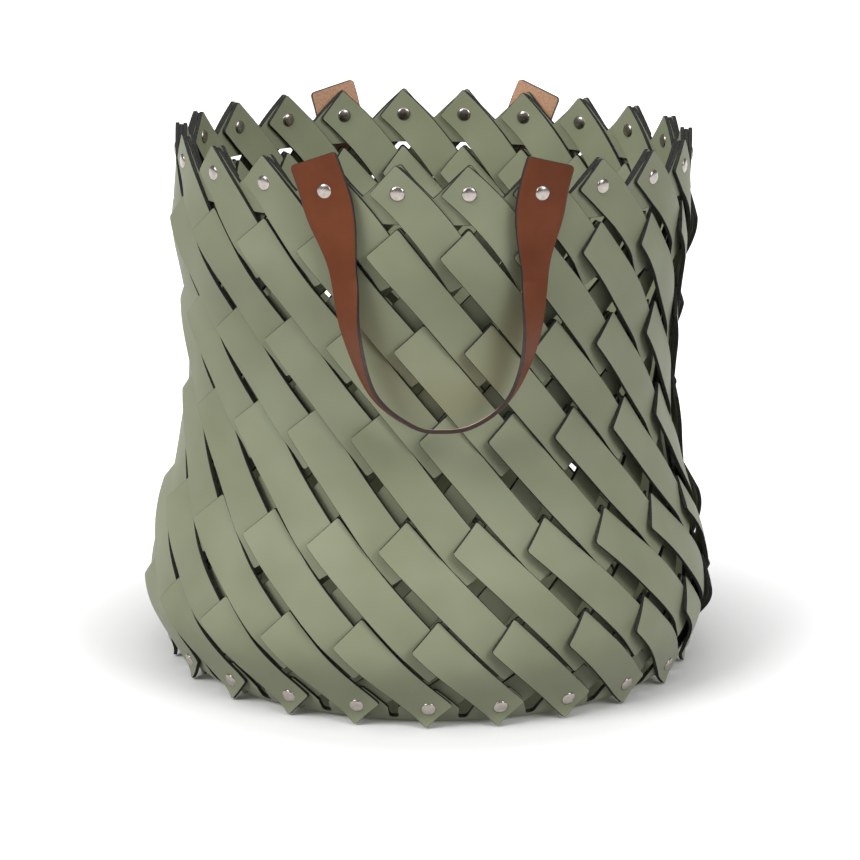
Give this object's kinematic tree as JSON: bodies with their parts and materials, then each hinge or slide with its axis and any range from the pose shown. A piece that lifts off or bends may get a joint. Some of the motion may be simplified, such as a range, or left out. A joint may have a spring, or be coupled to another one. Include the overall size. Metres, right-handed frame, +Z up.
{
  "type": "woven leather basket",
  "caption": "Oval open-topped basket plaited from leather straps riveted to a toothed rim and a leather base, with a riveted strap handle front and back.",
  "frame": {"origin": "middle of the flat underside of the base", "axes": "+Z up, +X along the wide side, handles at the front (-Y) and the back (+Y)"},
  "size_m": [0.3794, 0.3512, 0.3691],
  "materials": {
    "sage_leather": "satin fine-grained, dark cut edges",
    "brown_leather": "smooth satin face, dark painted edges, tan suede reverse",
    "nickel": "polished"
  },
  "bodies": {
    "basket": {"outer_strap_01": "sage_leather", "outer_strap_02": "sage_leather", "outer_strap_03": "sage_leather", "outer_strap_04": "sage_leather", "outer_strap_05": "sage_leather", "outer_strap_06": "sage_leather", "outer_strap_07": "sage_leather", "outer_strap_08": "sage_leather", "outer_strap_09": "sage_leather", "outer_strap_10": "sage_leather", "outer_strap_11": "sage_leather", "outer_strap_12": "sage_leather", "outer_strap_13": "sage_leather", "outer_strap_14": "sage_leather", "outer_strap_15": "sage_leather", "outer_strap_16": "sage_leather", "outer_strap_17": "sage_leather", "outer_strap_18": "sage_leather", "outer_strap_19": "sage_leather", "outer_strap_20": "sage_leather", "outer_strap_21": "sage_leather", "outer_strap_22": "sage_leather", "inner_strap_01": "sage_leather", "inner_strap_02": "sage_leather", "inner_strap_03": "sage_leather", "inner_strap_04": "sage_leather", "inner_strap_05": "sage_leather", "inner_strap_06": "sage_leather", "inner_strap_07": "sage_leather", "inner_strap_08": "sage_leather", "inner_strap_09": "sage_leather", "inner_strap_10": "sage_leather", "inner_strap_11": "sage_leather", "inner_strap_12": "sage_leather", "inner_strap_13": "sage_leather", "inner_strap_14": "sage_leather", "inner_strap_15": "sage_leather", "inner_strap_16": "sage_leather", "inner_strap_17": "sage_leather", "inner_strap_18": "sage_leather", "inner_strap_19": "sage_leather", "inner_strap_20": "sage_leather", "inner_strap_21": "sage_leather", "inner_strap_22": "sage_leather", "rim_band": "sage_leather", "base_pan": "sage_leather", "front_handle_tab_left": "brown_leather", "front_handle_tab_right": "brown_leather", "front_handle_rivet_left": "nickel", "front_handle_rivet_right": "nickel", "back_handle_tab_left": "brown_leather", "back_handle_tab_right": "brown_leather", "back_handle_rivet_left": "nickel", "back_handle_rivet_right": "nickel"},
    "front_handle": {"front_handle_loop": "brown_leather"},
    "back_handle": {"back_handle_loop": "brown_leather"}
  },
  "joints": [
    {"name": "front_handle_swing", "type": "hinge", "parent": "basket", "child": "front_handle", "pos_m": [0, -0.16, 0.309], "axis": [-1, 0, 0], "range_deg": [0, 180]},
    {"name": "back_handle_swing", "type": "hinge", "parent": "basket", "child": "back_handle", "pos_m": [0, 0.16, 0.309], "axis": [1, 0, 0], "range_deg": [0, 180]}
  ]
}
